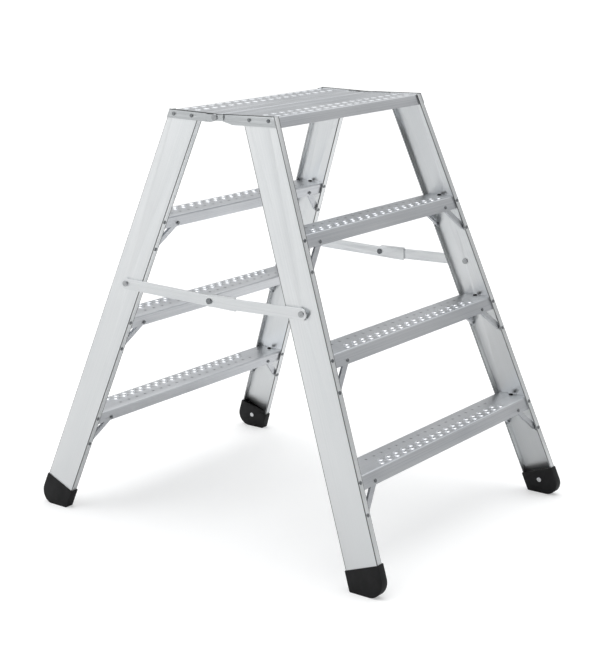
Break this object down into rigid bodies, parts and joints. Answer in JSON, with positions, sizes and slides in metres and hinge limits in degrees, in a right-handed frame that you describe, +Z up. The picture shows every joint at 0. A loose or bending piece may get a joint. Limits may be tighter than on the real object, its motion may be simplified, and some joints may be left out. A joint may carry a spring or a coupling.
{
  "type": "platform step ladder",
  "caption": "Free-standing aluminium double-sided step ladder with a flat platform, treads up both sides, folding side braces and moulded feet.",
  "frame": {"origin": "on the floor under the middle of the ladder, between the four feet", "axes": "X along the treads, left is -X; the front half leans towards -Y and the rear half towards +Y; Z up"},
  "size_m": [0.813, 1.0232, 1.0028],
  "materials": {
    "anodised": "satin extruded aluminium with faint draw lines",
    "mill": "pressed sheet aluminium, satin, with fine rolled lines",
    "zinc": "zinc plated steel strip",
    "rivet": "pressed rivet heads",
    "dark_screw": "plated pan heads",
    "boot": "black moulded rubber, slightly grained"
  },
  "bodies": {
    "front_half": {"front_boot_screws": "dark_screw", "front_brace_pivots": "rivet", "front_brace_spacers": "mill", "front_left_boot": "boot", "front_left_hinge_plate": "zinc", "front_left_lower_struts": "mill", "front_left_middle_struts": "mill", "front_left_stile": "anodised", "front_left_upper_struts": "mill", "front_lower_tread": "mill", "front_middle_tread": "mill", "front_plate_rivets": "rivet", "front_platform": "mill", "front_right_boot": "boot", "front_right_hinge_plate": "zinc", "front_right_lower_struts": "mill", "front_right_middle_struts": "mill", "front_right_stile": "anodised", "front_right_upper_struts": "mill", "front_strut_rivets": "rivet", "front_tread_rivets": "rivet", "front_upper_tread": "mill", "left_hinge_pin": "rivet", "right_hinge_pin": "rivet"},
    "rear_half": {"rear_boot_screws": "dark_screw", "rear_brace_pivots": "rivet", "rear_brace_spacers": "mill", "rear_left_boot": "boot", "rear_left_hinge_plate": "zinc", "rear_left_lower_struts": "mill", "rear_left_middle_struts": "mill", "rear_left_stile": "anodised", "rear_left_upper_struts": "mill", "rear_lower_tread": "mill", "rear_middle_tread": "mill", "rear_plate_rivets": "rivet", "rear_platform": "mill", "rear_right_boot": "boot", "rear_right_hinge_plate": "zinc", "rear_right_lower_struts": "mill", "rear_right_middle_struts": "mill", "rear_right_stile": "anodised", "rear_right_upper_struts": "mill", "rear_strut_rivets": "rivet", "rear_tread_rivets": "rivet", "rear_upper_tread": "mill"},
    "left_front_link": {"left_elbow_rivet": "rivet", "left_front_link": "zinc"},
    "left_rear_link": {"left_elbow_stub": "rivet", "left_rear_link": "zinc"},
    "right_front_link": {"right_elbow_rivet": "rivet", "right_front_link": "zinc"},
    "right_rear_link": {"right_elbow_stub": "rivet", "right_rear_link": "zinc"}
  },
  "joints": [
    {"name": "fold", "type": "hinge", "parent": "front_half", "child": "rear_half", "pos_m": [0, 0.013, 0.99105], "axis": [-1, 0, 0], "range_deg": [0, 40.7]},
    {"name": "left_front_link_pivot", "type": "hinge", "parent": "front_half", "child": "left_front_link", "pos_m": [-0.3486, -0.262, 0.583], "axis": [1, 0, 0], "range_deg": [0, 51]},
    {"name": "left_rear_link_pivot", "type": "hinge", "parent": "rear_half", "child": "left_rear_link", "pos_m": [-0.3455, 0.262, 0.583], "axis": [-1, 0, 0], "range_deg": [0, 46]},
    {"name": "right_front_link_pivot", "type": "hinge", "parent": "front_half", "child": "right_front_link", "pos_m": [0.3486, -0.262, 0.583], "axis": [1, 0, 0], "range_deg": [0, 51]},
    {"name": "right_rear_link_pivot", "type": "hinge", "parent": "rear_half", "child": "right_rear_link", "pos_m": [0.3455, 0.262, 0.583], "axis": [-1, 0, 0], "range_deg": [0, 46]}
  ],
  "couplings": [
    {"joint": "left_front_link_pivot", "follows": "fold", "ratio": 1.2339},
    {"joint": "left_rear_link_pivot", "follows": "fold", "ratio": 1.1113},
    {"joint": "right_front_link_pivot", "follows": "fold", "ratio": 1.2339},
    {"joint": "right_rear_link_pivot", "follows": "fold", "ratio": 1.1113}
  ]
}
